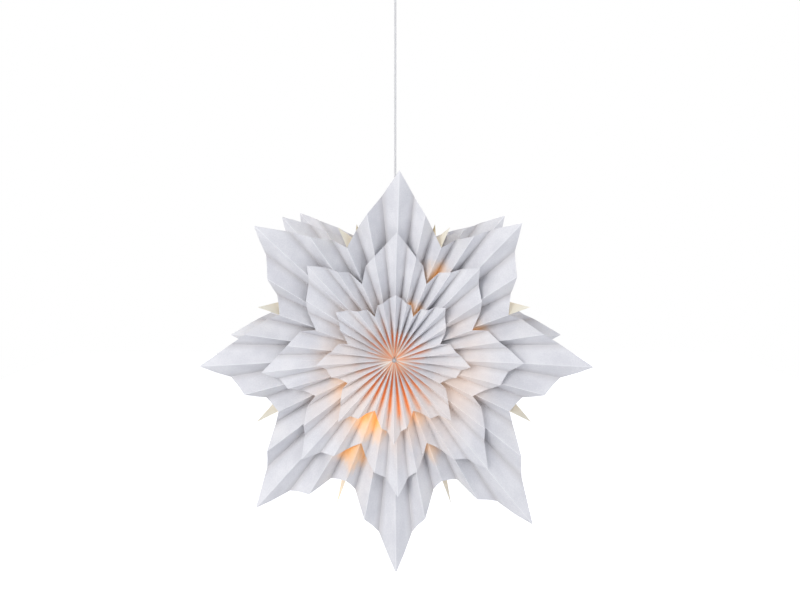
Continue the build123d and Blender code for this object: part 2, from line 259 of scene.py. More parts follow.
class SharedEffects:
    """The node groups that several materials use, each built once."""

    def __init__(self) -> None:
        """Builds all groups."""
        self.grain = self._grain()
        self.handling = self._handling()
        self.pleats = self._pleats()
        self.spot = self._spot()

    def _grain(self) -> bpy.types.NodeTree:
        """Fine surface grain: a mask and a height.

        Returns:
            The group, with inputs Cells and Coarse.
        """
        graph, start, end = new_group(
            "surface_grain",
            {"Cells": 900.0, "Coarse": 60.0},
            {"Mask": "NodeSocketFloat", "Height": "NodeSocketFloat"},
        )
        place = graph.add("ShaderNodeTexCoord").outputs["Object"]
        fine, coarse = graph.add("ShaderNodeTexNoise"), graph.add("ShaderNodeTexNoise")
        fine.inputs["Detail"].default_value = 4.0
        for layer, label in ((fine, "Cells"), (coarse, "Coarse")):
            graph.join(place, layer.inputs["Vector"])
            graph.join(start.outputs[label], layer.inputs["Scale"])
        fine_share = graph.math("MULTIPLY", fine.outputs["Fac"], 0.4)
        both = graph.math("MULTIPLY_ADD", coarse.outputs["Fac"], 0.6, fine_share)
        graph.join(graph.fade(both, 0.32, 0.68), end.inputs["Mask"])
        graph.join(fine.outputs["Fac"], end.inputs["Height"])
        return graph.tree

    def _handling(self) -> bpy.types.NodeTree:
        """Faint dust and finger marks that settle on faces that look up.

        Returns:
            The group, with the input Amount.
        """
        graph, start, end = new_group("handling_marks", {"Amount": 0.4}, {"Mask": "NodeSocketFloat"})
        place = graph.add("ShaderNodeTexCoord").outputs["Object"]
        patches = graph.fade(graph.speckle(place, 22.0, 5.0), 0.45, 0.7)
        up = graph.add("ShaderNodeSeparateXYZ")
        graph.join(graph.add("ShaderNodeNewGeometry").outputs["Normal"], up.inputs[0])
        lying = graph.fade(up.outputs["Z"], 0.1, 0.9)
        settled = graph.math("MULTIPLY_ADD", lying, 0.6, graph.math("MULTIPLY", patches, 0.5), clamp=True)
        graph.join(graph.math("MULTIPLY", settled, start.outputs["Amount"]), end.inputs["Mask"])
        return graph.tree

    def _pleats(self) -> bpy.types.NodeTree:
        """Where a point lies on the pleated star.

        Returns:
            The group. Valley is 1 in the folds and 0 on the ridges, Streak picks folds by
            chance, Reach is the distance from the star's axis in metres, Across and Along are
            its two parts, and Depth is the distance from the middle star.
        """
        labels = ("Valley", "Streak", "Reach", "Across", "Along", "Depth")
        graph, _, end = new_group("pleat_field", {}, {label: "NodeSocketFloat" for label in labels})
        folds = graph.add("ShaderNodeSeparateXYZ")
        graph.join(graph.add("ShaderNodeUVMap", uv_map=FOLD_MAP).outputs[0], folds.inputs[0])
        parts = graph.add("ShaderNodeSeparateXYZ")
        graph.join(graph.add("ShaderNodeTexCoord").outputs["Object"], parts.inputs[0])
        across = parts.outputs["X"]
        along = graph.math("SUBTRACT", parts.outputs["Z"], STAR_HEIGHT)
        graph.join(graph.math("PINGPONG", folds.outputs["X"], 1.0), end.inputs["Valley"])
        line = graph.add("ShaderNodeCombineXYZ")
        graph.join(folds.outputs["X"], line.inputs["X"])
        graph.join(graph.fade(graph.speckle(line.outputs[0], 0.37, 0.0), 0.46, 0.54), end.inputs["Streak"])
        graph.join(graph.length(across, along), end.inputs["Reach"])
        graph.join(across, end.inputs["Across"])
        graph.join(along, end.inputs["Along"])
        graph.join(graph.math("ABSOLUTE", parts.outputs["Y"]), end.inputs["Depth"])
        return graph.tree

    def _spot(self) -> bpy.types.NodeTree:
        """A place where the lamp shows through the paper, with an uneven rim.

        Returns:
            The group, with inputs Across, Along and Size and the output Mask.
        """
        inputs = {"Across": 0.0, "Along": 0.0, "Size": 0.05}
        graph, start, end = new_group("lamp_spot", inputs, {"Mask": "NodeSocketFloat"})
        star = graph.use(self.pleats).outputs
        aside = graph.math("SUBTRACT", star["Across"], start.outputs["Across"])
        above = graph.math("SUBTRACT", star["Along"], start.outputs["Along"])
        away = graph.math("DIVIDE", graph.length(aside, above), start.outputs["Size"])
        place = graph.add("ShaderNodeTexCoord").outputs["Object"]
        uneven = graph.math("MULTIPLY_ADD", graph.speckle(place, 38.0, 2.0), 0.9, -0.45)
        graph.join(graph.fade(graph.math("ADD", away, uneven), 1.0, 0.1), end.inputs["Mask"])
        return graph.tree


@dataclass(frozen=True)
class Spot:
    """A place where the lamp shows through the paper.

    Args:
        across: metres to the right of the star's middle.
        along: metres above it.
        size: radius in metres.
        power: strength, 1 for a clear glow.
    """

    across: float
    along: float
    size: float
    power: float = 1.0

    def mask(self, graph: Graph, effects: SharedEffects) -> bpy.types.NodeSocket:
        """Marks the place in a material.

        Args:
            graph: the material's graph.
            effects: the shared node groups.

        Returns:
            A socket that is 1 in the middle of the place.
        """
        made = graph.use(effects.spot, Across=self.across, Along=self.along, Size=self.size)
        return made.outputs["Mask"]


@dataclass(frozen=True)
class PaintedLighting:
    """Lamplight and shade painted onto the paper.

    Args:
        tone: the painted colour that it gives the paper.
        glow: the painted light that the paper gives off.
    """

    tone: Colour
    glow: Colour


DUST = (0.55, 0.53, 0.50)
GLOSS_SPREAD = 0.06
# painted highlight colour along the paper's ridges
RIDGE_HIGHLIGHT = (0.90, 0.90, 0.92)
# Painted lamplight on the paper: WASH, HEART, EMBER and WINDOW paint a warm tint and a glow; HEART_FOLD
# paints dark brown shade into the folds near the middle.
WASH = PaintedLighting((0.84, 0.70, 0.60), (0.13, 0.085, 0.055))
HEART = PaintedLighting((0.90, 0.87, 0.84), (0.13, 0.115, 0.10))
HEART_FOLD = PaintedLighting((0.40, 0.22, 0.14), (0.0, 0.0, 0.0))
EMBER = PaintedLighting((0.82, 0.38, 0.17), (0.15, 0.050, 0.012))
WINDOW = PaintedLighting((0.90, 0.54, 0.20), (0.35, 0.155, 0.030))

# Where the masks of painted light and shade begin and end, metres from the star's axis or above it, or shares
# of a fold's depth.
HEART_RIM = (0.042, 0.008)
WASH_INSIDE = (0.03, 0.09)
WASH_OUTSIDE = (0.21, 0.11)
WASH_TOP = (0.16, -0.02)
EMBER_FOLD = (0.28, 0.88)
DEEP_FOLD = (0.62, 1.0)
RIDGE_LINE = (0.04, 0.0)
WEB_NEAR_AXIS = (0.27, 0.08)
WEB_NEAR_MIDDLE = (0.17, 0.02)

WEB_TONES = (0.84, 0.82, 0.72), (0.78, 0.75, 0.64)
WEB_GLOWS = (0.10, 0.085, 0.04), (0.95, 0.55, 0.20)  # far from the lamp, near it
WEB_WINDOW_GLOW = (0.80, 0.38, 0.08)
GLASS_TONES = (0.95, 0.90, 0.80), (0.90, 0.84, 0.72)
GLASS_GLOWS = (1.0, 0.62, 0.28), (1.0, 0.56, 0.22)
CORD_TONES = (0.56, 0.56, 0.57), (0.80, 0.80, 0.80)  # between the threads, on them
FLOOR_TONES = (0.86, 0.86, 0.86), (0.90, 0.90, 0.90)
SKY_TINT = (0.92, 0.94, 1.0)


@dataclass(frozen=True)
class Finish:
    """A plain surface with grain, settled dust and a varied gloss.

    Args:
        name: the material's name.
        tone: its colour.
        second: the colour in its mottled places.
        rough: mean roughness.
        cells: grain cells to a metre.
        relief: strength of the grain's bump.
        dust: amount of settled dust.
        metallic: 1 for metal.
        coat: weight of a clear glaze.
    """

    name: str
    tone: Colour
    second: Colour
    rough: float = 0.45
    cells: float = 1400.0
    relief: float = 0.12
    dust: float = 0.35
    metallic: float = 0.0
    coat: float = 0.0

    def build(self, effects: SharedEffects) -> bpy.types.Material:
        """Makes the material.

        Args:
            effects: the shared node groups.

        Returns:
            The material.
        """
        made, graph, shader = new_material(self.name)
        grain = graph.use(effects.grain, Cells=self.cells, Coarse=self.cells / 14).outputs
        marks = graph.use(effects.handling, Amount=self.dust).outputs["Mask"]
        tone = graph.blend(grain["Mask"], self.tone, self.second)
        graph.join(graph.blend(marks, tone, DUST), shader["Base Color"])
        gloss = graph.math("MULTIPLY_ADD", grain["Mask"], 2 * GLOSS_SPREAD, self.rough - GLOSS_SPREAD)
        graph.join(graph.math("MULTIPLY_ADD", marks, 0.2, gloss), shader["Roughness"])
        shader["Metallic"].default_value = self.metallic
        shader["Coat Weight"].default_value = self.coat
        graph.join(graph.relief(grain["Height"], self.relief, GRAIN_DEPTH), shader["Normal"])
        return made


@dataclass(frozen=True)
class PaperFinish:
    """White pleated paper, with painted glow of the lamp behind it where few sheets cover it, painted shade
    in its folds and painted highlights on its ridges.

    Args:
        name: the material's name.
        embers: where painted lamplight reddens the valleys.
        windows: where painted lamplight shines through the facets.
        wash: strength of the painted pale warm lamplight round the middle.
        tone: the paper's colour.
        shade: its colour in the cloudy places.
        fold_shade: painted shade deep in the valleys.
    """

    name: str
    embers: tuple[Spot, ...] = ()
    windows: tuple[Spot, ...] = ()
    wash: float = 0.5
    tone: Colour = (0.800, 0.800, 0.822)
    shade: Colour = (0.690, 0.692, 0.725)
    fold_shade: Colour = (0.575, 0.562, 0.570)

    def _lit(self, graph: Graph, effects: SharedEffects, spots: tuple[Spot, ...]) -> bpy.types.NodeSocket:
        """Adds up the masks of some spots.

        Args:
            graph: the material's graph.
            effects: the shared node groups.
            spots: the spots.

        Returns:
            The sum, held between 0 and 1.
        """
        total: object = 0.0
        for spot in spots:
            total = graph.math("MULTIPLY_ADD", spot.mask(graph, effects), spot.power, total, clamp=True)
        return total

    def _paper_with_painted_folds(self, graph: Graph, grain: object, valley: object) -> bpy.types.NodeSocket:
        """Colours the paper: its own mottled tone, with painted shade in the folds and painted highlights on
        the ridges.

        Args:
            graph: the material's graph.
            grain: the grain's mask.
            valley: 1 in the folds and 0 on the ridges.

        Returns:
            The colour, with painted shade in the folds and painted highlights on the ridges.
        """
        tone = graph.blend(grain, self.tone, self.shade)
        # painted shade deep in the folds
        folds = graph.math("MULTIPLY", graph.fade(valley, *DEEP_FOLD), 0.6)
        tone = graph.blend(folds, tone, self.fold_shade)
        # painted highlight along the ridges
        ridges = graph.math("MULTIPLY", graph.fade(valley, *RIDGE_LINE), 0.6)
        return graph.blend(ridges, tone, RIDGE_HIGHLIGHT)

    def _lamplight(self, graph: Graph, effects: SharedEffects, star: object, place: object) -> tuple:
        """Masks the places of painted lamplight, and of painted shade in the folds near the middle, from the
        widest to the brightest.

        Args:
            graph: the material's graph.
            effects: the shared node groups.
            star: the outputs of the pleat field.
            place: the coordinates' socket.

        Returns:
            Pairs of a mask and its painted lighting.
        """
        valley, reach, streak = star["Valley"], star["Reach"], star["Streak"]
        ring = graph.math("MULTIPLY", graph.fade(reach, *WASH_INSIDE), graph.fade(reach, *WASH_OUTSIDE))
        cloud = graph.fade(graph.speckle(place, 9.0, 3.0), 0.36, 0.62)
        low_ring = graph.math("MULTIPLY", ring, graph.fade(star["Along"], *WASH_TOP))
        wash = graph.math("MULTIPLY", low_ring, cloud)
        heart = graph.fade(reach, *HEART_RIM)
        outside = graph.math("SUBTRACT", 1.0, heart)
        apart = graph.math("MULTIPLY", graph.fade(valley, *EMBER_FOLD), outside)
        folded = graph.math("MULTIPLY_ADD", streak, graph.math("MULTIPLY", heart, 0.6), apart)
        heart_fold = graph.math("MULTIPLY", graph.math("MULTIPLY", heart, streak), 0.75)
        open_face = graph.math("MULTIPLY_ADD", valley, 0.45, 0.55)
        return (
            (graph.math("MULTIPLY", wash, self.wash), WASH),
            (heart, HEART),
            (heart_fold, HEART_FOLD),
            (graph.math("MULTIPLY", self._lit(graph, effects, self.embers), folded), EMBER),
            (graph.math("MULTIPLY", self._lit(graph, effects, self.windows), open_face), WINDOW),
        )

    def build(self, effects: SharedEffects) -> bpy.types.Material:
        """Makes the material.

        Args:
            effects: the shared node groups.

        Returns:
            The material.
        """
        made, graph, shader = new_material(self.name)
        star = graph.use(effects.pleats).outputs
        grain = graph.use(effects.grain, Cells=420.0, Coarse=26.0).outputs
        place = graph.add("ShaderNodeTexCoord").outputs["Object"]
        tone = self._paper_with_painted_folds(graph, grain["Mask"], star["Valley"])
        light: object = (0.0, 0.0, 0.0)
        # each painted light and shade in turn: its tint into the colour, its glow into the emission
        for mask, painted_lighting in self._lamplight(graph, effects, star, place):
            tone = graph.blend(mask, tone, painted_lighting.tone)
            light = graph.blend(mask, light, painted_lighting.glow, "ADD")
        graph.join(tone, shader["Base Color"])
        graph.join(light, shader["Emission Color"])
        shader["Emission Strength"].default_value = 1.0
        graph.join(graph.math("MULTIPLY_ADD", grain["Mask"], 0.1, 0.74), shader["Roughness"])
        shader["Specular IOR Level"].default_value = 0.2
        crumple = graph.relief(graph.speckle(place, 52.0, 4.0), 0.5, 1.1 * MM)
        graph.join(graph.relief(grain["Height"], 0.4, GRAIN_DEPTH, crumple), shader["Normal"])
        return made


@dataclass(frozen=True)
class GussetFinish:
    """Thin ivory web that the lamp shines through, brightest near the middle star.

    Args:
        name: the material's name.
        glow: strength of the light that it gives off.
        window: where the lamp shines straight through it.
    """

    name: str = "gusset_paper_ivory"
    glow: float = 0.40
    window: Spot = Spot(-0.10, -0.26, 0.07)

    def build(self, effects: SharedEffects) -> bpy.types.Material:
        """Makes the material.

        Args:
            effects: the shared node groups.

        Returns:
            The material.
        """
        made, graph, shader = new_material(self.name)
        star = graph.use(effects.pleats).outputs
        grain = graph.use(effects.grain, Cells=2600.0, Coarse=34.0).outputs
        graph.join(graph.blend(grain["Mask"], *WEB_TONES), shader["Base Color"])
        graph.join(graph.math("MULTIPLY_ADD", grain["Mask"], 0.1, 0.72), shader["Roughness"])
        near_axis = graph.fade(star["Reach"], *WEB_NEAR_AXIS)
        near_middle = graph.math("MULTIPLY", graph.fade(star["Depth"], *WEB_NEAR_MIDDLE), 0.35)
        lit = graph.math("MULTIPLY_ADD", near_axis, 0.6, near_middle, clamp=True)
        ivory = graph.blend(lit, *WEB_GLOWS)
        orange = graph.blend(self.window.mask(graph, effects), ivory, WEB_WINDOW_GLOW)
        graph.join(orange, shader["Emission Color"])
        shader["Emission Strength"].default_value = self.glow
        graph.join(graph.relief(grain["Height"], 0.3, 0.12 * MM), shader["Normal"])
        return made


@dataclass(frozen=True)
class LampGlassFinish:
    """Warm white lamp glass, alight.

    Args:
        name: the material's name.
        power: how brightly it lights the paper.
        seen: how bright it looks itself, held back so that its colour shows.
    """

    name: str = "lamp_glass_lit"
    power: float = 14.0
    seen: float = 0.45

    def build(self, effects: SharedEffects) -> bpy.types.Material:
        """Makes the material.

        Args:
            effects: the shared node groups.

        Returns:
            The material.
        """
        made, graph, shader = new_material(self.name)
        grain = graph.use(effects.grain, Cells=500.0, Coarse=40.0).outputs
        mask = grain["Mask"]
        graph.join(graph.blend(mask, *GLASS_TONES), shader["Base Color"])
        graph.join(graph.math("MULTIPLY_ADD", mask, 0.08, 0.18), shader["Roughness"])
        graph.join(graph.blend(mask, *GLASS_GLOWS), shader["Emission Color"])
        direct = graph.add("ShaderNodeLightPath").outputs["Is Camera Ray"]
        strength = graph.math("MULTIPLY_ADD", direct, self.seen - self.power, self.power)
        graph.join(strength, shader["Emission Strength"])
        graph.join(graph.relief(grain["Height"], 0.05, 1.0 * MM), shader["Normal"])
        return made


@dataclass(frozen=True)
class CordFinish:
    """White textile-covered flex: two crossed sets of threads round the cord.

    Args:
        name: the material's name.
        threads: threads of each set round the cord.
        slant: how fast they wind, radians to a metre.
    """

    name: str = "cord_braid_white"
    threads: float = 8.0
    slant: float = 2400.0

    def build(self) -> bpy.types.Material:
        """Makes the material.

        Returns:
            The material.
        """
        made, graph, shader = new_material(self.name)
        parts = graph.add("ShaderNodeSeparateXYZ")
        graph.join(graph.add("ShaderNodeTexCoord").outputs["Object"], parts.inputs[0])
        turn = graph.math("ARCTAN2", parts.outputs["X"], parts.outputs["Y"])
        wound = graph.math("MULTIPLY", turn, self.threads)
        slopes = (
            graph.math("MULTIPLY_ADD", parts.outputs["Z"], way * self.slant, wound) for way in (-1, 1)
        )
        weave = graph.math("MAXIMUM", *(graph.math("SINE", slope) for slope in slopes))
        mask = graph.fade(weave, -0.2, 0.9)
        graph.join(graph.blend(mask, *CORD_TONES), shader["Base Color"])
        graph.join(graph.math("MULTIPLY_ADD", mask, -0.1, 0.78), shader["Roughness"])
        shader["Sheen Weight"].default_value = 0.2
        graph.join(graph.relief(weave, 0.5, GRAIN_DEPTH), shader["Normal"])
        return made


# --- shapes --------------------------------------------------------------------


def clear_selection() -> None:
    """Deselects everything."""
    if bpy.context.object and bpy.context.object.mode != "OBJECT":
        bpy.ops.object.mode_set(mode="OBJECT")
    bpy.ops.object.select_all(action="DESELECT")


def dress(piece: bpy.types.Object, material: bpy.types.Material) -> None:
    """Gives an object one material in place of all it had."""
    piece.data.materials.clear()
    piece.data.materials.append(material)


@dataclass(frozen=True)
class StarCut:
    """How a star is folded and cut, in metres.

    Args:
        tip: radius of the tips.
        shoulder: radius of the corners beside each tip, as a share of the tip's.
        notch: radius of the notches, as a share of the tip's.
        facet: width of the strip's facets.
        inner: inner radius of the leaves.
        dish: how far the middle lies behind the plane of the large tips.
    """

    tip: float
    shoulder: float
    notch: float
    facet: float
    inner: float
    dish: float = 0.068


LARGE = StarCut(LARGE_TIP, 0.71, 0.64, 0.038, 0.010)
MEDIUM = StarCut(0.235, 0.77, 0.65, 0.026, 0.010)
SMALL = StarCut(0.138, 0.77, 0.65, 0.018, 0.004)
MIDDLE = StarCut(LARGE_TIP, 0.71, 0.64, 0.038, 0.095, dish=0.0)

COLUMN_SHARES = (0.0, 0.03, 0.5, 0.97)  # where each facet's columns lie
ROW_BUNCHING = 1.25  # above 1 the rows are closer together at the inner end
WAVE_CELLS = 9.0  # slow waves to a metre
LOOSE_LIE = (3.0, 0.03, 0.004)  # most turn in degrees, stretch and lift in metres by chance
LOOSE_STEP = 1.7  # between the leaves in the noise
TRIM_WELD = 0.02 * MM
GLUE_WELD = 0.04 * MM
OPEN_GLUE_WELD = 0.1 * MM  # for a star that is open in the middle
OPEN_INNER = 0.02
SMOOTH_ANGLE = 14.0


@dataclass
class PleatedStar:
    """One eight-pointed star of pleated paper, folded leaf by leaf.

    Args:
        node: the piece's name, and the solid it stands for.
        facing: which way its ridges stand.
        depth: the star's plane, metres in front of or behind the cord.
        cut: how it is folded and cut.
        seed: shifts the paper's small irregularities.
        leaves: each leaf's own lie, as in LEAVES; by chance where it is empty.
        paper: the paper's thickness, metres.
        rows: rows of faces along a leaf.
        crease: how much of a facet's height is rounded at its creases.
        waviness: height of the paper's slow waves, metres.
    """

    node: str
    facing: Facing
    depth: float
    cut: StarCut
    seed: float
    leaves: tuple[tuple[float, float, float], ...] = ()
    paper: float = 0.32 * MM
    rows: int = 20
    crease: float = 0.045
    waviness: float = 0.0011

    def _zigzag(self, fold: float) -> float:
        """Height of the pleat at a fold number, 1 on ridges and -1 in valleys, creases slightly rounded."""
        phase = abs(fold) % 2.0
        wave = 1 - 2 * phase if phase <= 1 else 2 * phase - 3
        edge = 1 - self.crease
        if abs(wave) > edge:
            over = (abs(wave) - edge) / self.crease
            wave = math.copysign(edge + self.crease * (over - 0.5 * over * over), wave)
        return wave

    def _fold_columns(self) -> list[float]:
        """Fold numbers of the grid's columns, closer together at the creases.

        Returns:
            Rising numbers from -FACETS/2 to FACETS/2.
        """
        marks = []
        for facet_number in range(-FACETS // 2, FACETS // 2):
            marks += [facet_number + share for share in COLUMN_SHARES]
        return marks + [FACETS / 2]

    def _place(self, fold: float, share: float) -> Vector:
        """Where a point of the leaf lies, its middle fold along +X and its depth along Z.

        Args:
            fold: fold number across the leaf.
            share: 0 at the inner end, 1 past the tip.

        Returns:
            The point.
        """
        angle = fold * FOLD_ANGLE
        height = self.cut.inner + (self.cut.tip - self.cut.inner) * share**ROW_BUNCHING
        radius = height / math.cos(angle)
        pitch = FOLD_ANGLE * radius
        deep = math.sqrt(max(self.cut.facet**2 - pitch**2, 0.0))
        sink = self.cut.dish * (1 - radius / LARGE_TIP)
        return Vector((height, height * math.tan(angle), self._zigzag(fold) * deep / 2 - sink))

    def _leaf(self) -> bpy.types.Object:
        """Folds one leaf from a grid and trims it to its point.

        Returns:
            The leaf, its middle fold along +X.
        """
        marks = self._fold_columns()
        clear_selection()
        bpy.ops.mesh.primitive_grid_add(x_subdivisions=len(marks) - 1, y_subdivisions=self.rows, size=2)
        leaf = bpy.context.object
        folds = leaf.data.uv_layers[0] if leaf.data.uv_layers else leaf.data.uv_layers.new()
        folds.name = FOLD_MAP
        columns = [round((corner.co.x + 1) / 2 * (len(marks) - 1)) for corner in leaf.data.vertices]
        for corner, column in zip(leaf.data.vertices, columns):
            corner.co = self._place(marks[column], (corner.co.y + 1) / 2)
        for loop in leaf.data.loops:
            column = columns[loop.vertex_index]
            reach = leaf.data.vertices[loop.vertex_index].co.x
            folds.data[loop.index].uv = (marks[column] + FACETS, reach)
        corners = [Vector((self.cut.tip, 0, 0))]
        for share, degrees in ((self.cut.shoulder, SHOULDER_ANGLE), (self.cut.notch, 180 / POINTS)):
            turn = math.radians(degrees)
            corners.append(share * self.cut.tip * Vector((math.cos(turn), math.sin(turn), 0)))
        bpy.ops.object.mode_set(mode="EDIT")
        for start, end in zip(corners, corners[1:]):
            way = (end - start).normalized()
            for side in (1, -1):
                bpy.ops.mesh.select_all(action="SELECT")
                origin, outwards = (start.x, side * start.y, 0), (way.y, -side * way.x, 0)
                bpy.ops.mesh.bisect(plane_co=origin, plane_no=outwards, clear_outer=True)
        bpy.ops.mesh.select_all(action="SELECT")
        bpy.ops.mesh.remove_doubles(threshold=TRIM_WELD)
        bpy.ops.mesh.normals_make_consistent(inside=False)
        bpy.ops.object.mode_set(mode="OBJECT")
        return leaf

    def _irregular(self, spot: Vector) -> Vector:
        """Where the uneven paper has moved a point: its leaf's own lie and slow waves.

        Args:
            spot: the point on the even star.

        Returns:
            The moved point.
        """
        across, along = spot.x, spot.z - STAR_HEIGHT
        reach, angle = math.hypot(across, along), math.atan2(across, along)
        number = round(angle / LOBE)
        if self.leaves:
            turn, stretch, lift = self.leaves[number % POINTS]
        else:
            place = number % POINTS * LOOSE_STEP
            turn, stretch, lift = (
                noise.noise((self.seed, place, kind)) * most for kind, most in enumerate(LOOSE_LIE)
            )
        share = 0.5 + 0.5 * math.cos((angle - number * LOBE) * POINTS)
        free = share * min(1.0, max(0.0, (reach / self.cut.tip - 0.3) / 0.7))
        angle += math.radians(turn) * share
        reach *= 1 + stretch * free
        key = spot * WAVE_CELLS + Vector((self.seed, 0, 0))
        swing = noise.noise(key) * self.waviness * min(1.0, 1.2 * reach / self.cut.tip) - lift * free
        return Vector((reach * math.sin(angle), spot.y + swing, STAR_HEIGHT + reach * math.cos(angle)))

    def build(self, material: bpy.types.Material) -> bpy.types.Object:
        """Makes the star from eight copies of its leaf.

        Args:
            material: the paper.

        Returns:
            The finished piece.
        """
        first = self._leaf()
        stand = Matrix.Translation((0, self.facing.value * self.depth, STAR_HEIGHT)) @ Matrix.Rotation(
            math.radians(90 if self.facing is Facing.FRONT else -90), 4, "X"
        )
        leaves = [first]
        for _ in range(1, POINTS):
            other = first.copy()
            other.data = first.data.copy()
            bpy.context.scene.collection.objects.link(other)
            leaves.append(other)
        for count, leaf in enumerate(leaves):
            leaf.data.transform(stand @ Matrix.Rotation(count * LOBE, 4, "Z"))
            for corner in leaf.data.uv_layers[FOLD_MAP].data:
                corner.uv.x += count * FACETS
            leaf.matrix_world = Matrix.Identity(4)
        clear_selection()
        for leaf in leaves:
            leaf.select_set(True)
        bpy.context.view_layer.objects.active = first
        bpy.ops.object.join()
        for corner in first.data.vertices:
            corner.co = self._irregular(corner.co.copy())
        bpy.ops.object.mode_set(mode="EDIT")
        bpy.ops.mesh.select_all(action="SELECT")
        bpy.ops.mesh.remove_doubles(threshold=OPEN_GLUE_WELD if self.cut.inner > OPEN_INNER else GLUE_WELD)
        bpy.ops.mesh.normals_make_consistent(inside=False)
        bpy.ops.object.mode_set(mode="OBJECT")
        wall = first.modifiers.new("paper_wall", "SOLIDIFY")
        wall.thickness = self.paper
        wall.offset = 0.0
        wall.use_even_offset = False
        bpy.ops.object.modifier_apply(modifier=wall.name)
        bpy.ops.object.shade_smooth_by_angle(angle=math.radians(SMOOTH_ANGLE))
        first.name = f"{self.node}_paper"
        dress(first, material)
        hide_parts(self.node)
        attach(first, "star")
        log.info("%s: %d faces", first.name, len(first.data.polygons))
        return first


# Each leaf's turn in degrees, stretch as a share and lift in metres, clockwise from the top.
LEAVES = {
    "front_large_tier": (
        (1.6, -0.010, 0.0), (-3.0, -0.030, 0.002), (0.0, 0.0, 0.0), (3.0, 0.020, 0.004),
        (-0.6, 0.0, 0.0), (-0.3, -0.028, -0.002), (0.2, -0.024, 0.0), (0.0, 0.0, 0.002),
    ),
    "front_medium_tier": (
        (1.2, 0.0, 0.0), (-3.2, -0.02, 0.0), (-1.1, -0.02, 0.002), (2.2, 0.03, 0.002),
        (-1.7, -0.03, 0.0), (0.0, -0.02, 0.0), (-3.0, 0.0, 0.0), (3.5, 0.0, 0.0),
    ),
    "front_small_tier": (
        (1.5, -0.10, 0.0), (-2.5, -0.01, 0.0), (1.5, -0.015, 0.0), (-1.5, 0.01, 0.0),
        (0.0, 0.0, 0.0), (0.0, 0.01, 0.0), (0.0, 0.0, 0.0), (-3.0, 0.01, 0.0),
    ),
    "rear_large_tier": (
        (0.6, 0.01, 0.0), (-0.8, 0.0, 0.001), (0.5, 0.01, 0.0), (-0.4, 0.0, 0.0),
        (0.7, -0.01, 0.0), (0.3, 0.01, -0.001), (-0.9, 0.0, 0.0), (2.4, 0.06, 0.0),
    ),
    "middle_large_tier": (
        (0.8, 0.0, 0.0), (-3.0, 0.02, 0.0), (-1.5, 0.02, 0.0), (1.0, 0.0, 0.0),
        (0.5, 0.0, 0.0), (-0.8, 0.0, 0.0), (1.5, 0.01, 0.0), (1.9, 0.03, 0.0),
    ),
}


# Places of painted lamplight: CORE reddens the folds round the middle, the window spots glow through the
# facets.
CORE = (
    Spot(0.020, 0.013, 0.050),
    Spot(-0.004, -0.045, 0.085),
    Spot(0.012, -0.070, 0.045, 0.8),
    Spot(-0.014, 0.026, 0.055, 0.6),
)
LARGE_WINDOWS = (
    Spot(-0.070, -0.156, 0.055),
    Spot(0.060, -0.150, 0.040, 0.6),
    Spot(0.150, 0.045, 0.035, 0.4),
    Spot(0.078, 0.155, 0.035, 0.5),
)
MEDIUM_WINDOWS = (
    Spot(-0.038, -0.098, 0.055),
    Spot(0.034, -0.095, 0.034, 0.5),
    Spot(0.027, 0.080, 0.035, 0.6),
    Spot(-0.075, -0.045, 0.050, 0.3),
)
LARGE_PAPER = PaperFinish("paper_outer_star", CORE, LARGE_WINDOWS, 0.8)
MEDIUM_PAPER = PaperFinish("paper_medium_star", CORE, MEDIUM_WINDOWS, 0.6)
SMALL_PAPER = PaperFinish("paper_small_star", CORE, (), 0.3)
MIDDLE_PAPER = PaperFinish(
    "paper_middle_star", (), (Spot(0.0, -0.05, 0.20, 0.7),), 1.0, tone=(0.80, 0.81, 0.83)
)
HUB = Finish("hub_turned_white", (0.42, 0.42, 0.44), (0.36, 0.36, 0.38), rough=0.5)
WIRE = Finish(
    "drawn_wire_steel", (0.62, 0.62, 0.63), (0.50, 0.50, 0.51),
    rough=0.32, cells=2200.0, relief=0.1, dust=0.2, metallic=1.0,
)


def dress_nodes(coats: tuple[tuple[object, tuple[str, ...]], ...], effects: SharedEffects) -> None:
    """Builds each finish and gives it to its solids.

    Args:
        coats: pairs of a finish and the names of the solids that wear it.
        effects: the shared node groups.
    """
    for finish, names in coats:
        material = finish.build(effects)
        for name in names:
            dress(bpy.data.objects[name], material)


@dataclass
class PaperStarStack:
    """All seven stars, the webs between them, the hubs and the wire.

    Args:
        layer: from the middle star to the front and rear large stars, metres.
        step: from a large star to the medium one, and on to the small one.
        seed_step: between the seeds of the front and rear stars.
        middle_seed: seed of the middle star.
    """

    layer: float = 0.150
    step: float = 0.018
    seed_step: float = 3.7
    middle_seed: float = 31.0

    def build(self, effects: SharedEffects) -> None:
        """Builds and dresses the stack.

        Args:
            effects: the shared node groups.
        """
        tiers = (
            ("large", LARGE, LARGE_PAPER.build(effects)),
            ("medium", MEDIUM, MEDIUM_PAPER.build(effects)),
            ("small", SMALL, SMALL_PAPER.build(effects)),
        )
        seed = 0.0
        for facing, word in ((Facing.FRONT, "front"), (Facing.REAR, "rear")):
            for count, (size, shape, paper) in enumerate(tiers):
                seed += self.seed_step
                node = f"{word}_{size}_tier"
                depth = self.layer + count * self.step
                PleatedStar(node, facing, depth, shape, seed, LEAVES.get(node, ())).build(paper)
        node = "middle_large_tier"
        middle = PleatedStar(node, Facing.FRONT, 0.0, MIDDLE, self.middle_seed, LEAVES[node])
        middle.build(MIDDLE_PAPER.build(effects))
        webs = tuple(f"{word}_gusset_{count}" for word in ("front", "rear") for count in range(1, POINTS + 1))
        coats = ((GussetFinish(), webs), (HUB, ("front_hub", "rear_hub")), (WIRE, ("wire_spreader",)))
        dress_nodes(coats, effects)
        log.info("paper stack dressed")


